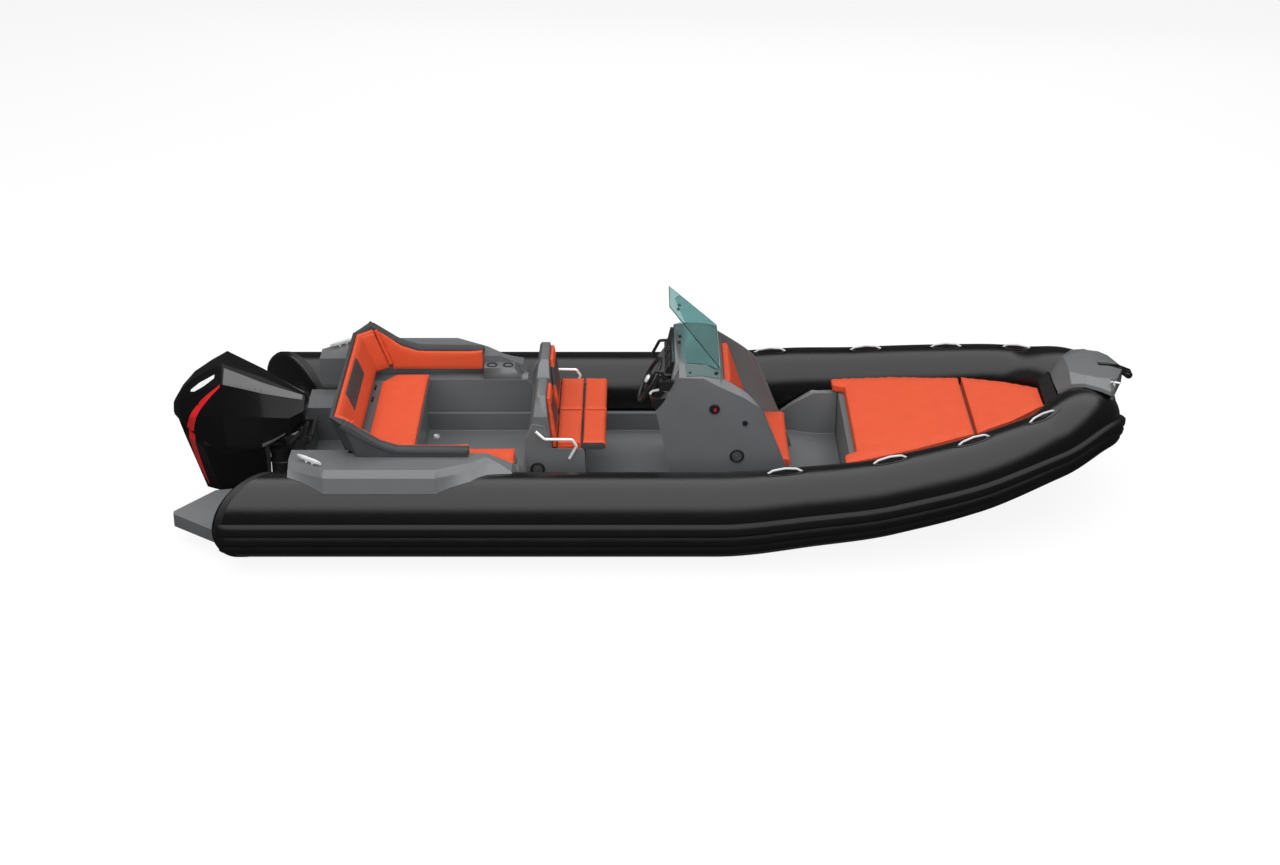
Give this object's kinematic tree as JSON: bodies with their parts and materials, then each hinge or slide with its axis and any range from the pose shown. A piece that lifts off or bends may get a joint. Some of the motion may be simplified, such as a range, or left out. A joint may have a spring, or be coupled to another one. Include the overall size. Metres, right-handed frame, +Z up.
{
  "type": "rigid inflatable boat with outboard engine",
  "caption": "Rigid inflatable boat afloat: deep-V hull, charcoal tubes, centre console, orange lounge, helm and bow cushions, outboard engine that tilts and steers.",
  "frame": {"origin": "on the centreline amidships, at the waterline with the boat afloat and empty", "axes": "+X towards the bow, +Y to port, +Z up"},
  "size_m": [6.609, 2.6218, 2.058],
  "materials": {
    "tube_fabric": "matt coated fabric, fine weave",
    "strake_rubber": "matt extruded rubber",
    "handle_rubber": "matt webbing",
    "gelcoat": "satin gelcoat",
    "upholstery_orange": "coated vinyl, stitched",
    "upholstery_grey": "coated vinyl, stitched",
    "black_moulding": "fine grain",
    "tinted_screen": "polished acrylic",
    "stainless": "polished stainless steel",
    "cowl_gloss": "gloss paint",
    "engine_paint": "satin paint",
    "engine_block": "cast"
  },
  "bodies": {
    "root": {"aft_deck": "gelcoat", "backrest_cushion": "upholstery_orange", "backrest_shell": "upholstery_grey", "bench_base": "gelcoat", "bow_cap": "gelcoat", "bow_cleat": "stainless", "bow_cushion_aft": "upholstery_orange", "bow_cushion_front": "upholstery_orange", "bow_locker": "gelcoat", "bow_step": "black_moulding", "coaming_port": "gelcoat", "coaming_starboard": "gelcoat", "cockpit_liner": "gelcoat", "console": "gelcoat", "console_back_pad": "upholstery_orange", "console_seat_base": "gelcoat", "dash_panel": "black_moulding", "dash_rails": "black_moulding", "engine_clamp": "engine_paint", "helm_back_pads": "upholstery_orange", "helm_rails": "stainless", "helm_rear_cushions": "upholstery_orange", "helm_seat_backs": "gelcoat", "helm_seat_base": "gelcoat", "hull": "gelcoat", "roller_bracket": "black_moulding", "rub_strake_port": "strake_rubber", "rub_strake_starboard": "strake_rubber", "side_bolster_port": "upholstery_orange", "side_bolster_starboard": "upholstery_orange", "side_seat_base": "gelcoat", "side_seat_cushion": "upholstery_orange", "stern_cleats": "stainless", "swim_platforms": "gelcoat", "throttle": "black_moulding", "transom": "gelcoat", "tube_handles": "handle_rubber", "tube_port": "tube_fabric", "tube_starboard": "tube_fabric", "wheel_boss": "black_moulding", "windscreen": "tinted_screen"},
    "engine": {"engine_cowl": "cowl_gloss", "engine_powerhead": "engine_block", "engine_lower_cowl": "cowl_gloss", "steering_yoke": "engine_paint", "gearcase": "engine_paint"},
    "swivel": {"swivel_bracket": "engine_paint", "steering_cylinder": "stainless"},
    "propeller": {"propeller": "stainless"},
    "wheel": {"steering_wheel": "black_moulding"},
    "bolster_port": {"helm_bolster_port": "upholstery_orange"},
    "bolster_starboard": {"helm_bolster_starboard": "upholstery_orange"},
    "bench_seat": {"bench_lid": "gelcoat", "bench_cushion": "upholstery_orange"},
    "console_seat": {"console_seat_lid": "gelcoat", "console_seat_cushion": "upholstery_orange"},
    "roller": {"anchor_roller": "black_moulding"}
  },
  "joints": [
    {"name": "engine_tilt", "type": "hinge", "parent": "root", "child": "swivel", "pos_m": [-2.335, 0, 0.405], "axis": [0, 1, 0], "range_deg": [0, 55]},
    {"name": "engine_steer", "type": "hinge", "parent": "swivel", "child": "engine", "pos_m": [-2.5, 0, 0.15], "axis": [0, 0, 1], "range_deg": [-30, 30]},
    {"name": "propeller_spin", "type": "hinge", "parent": "engine", "child": "propeller", "pos_m": [-3, 0, -0.42], "axis": [1, 0, 0], "continuous": true},
    {"name": "wheel_turn", "type": "hinge", "parent": "root", "child": "wheel", "pos_m": [0.067, -0.11, 0.869], "axis": [-0.8829, 0, 0.4695], "range_deg": [-720, 720]},
    {"name": "bolster_flip_port", "type": "hinge", "parent": "root", "child": "bolster_port", "pos_m": [-0.39, 0.267, 0.595], "axis": [0, -1, 0], "range_deg": [0, 90]},
    {"name": "bolster_flip_starboard", "type": "hinge", "parent": "root", "child": "bolster_starboard", "pos_m": [-0.39, -0.267, 0.595], "axis": [0, -1, 0], "range_deg": [0, 90]},
    {"name": "aft_bench_lid", "type": "hinge", "parent": "root", "child": "bench_seat", "pos_m": [-1.841, 0, 0.595], "axis": [0, -1, 0], "range_deg": [0, 70]},
    {"name": "console_seat_lid", "type": "hinge", "parent": "root", "child": "console_seat", "pos_m": [0.8, 0, 0.4], "axis": [0, -1, 0], "range_deg": [0, 70]},
    {"name": "anchor_roller_spin", "type": "hinge", "parent": "root", "child": "roller", "pos_m": [3.36, 0, 0.866], "axis": [0, 1, 0], "continuous": true}
  ],
  "couplings": [
    {"joint": "wheel_turn", "follows": "engine_steer", "ratio": -24}
  ]
}
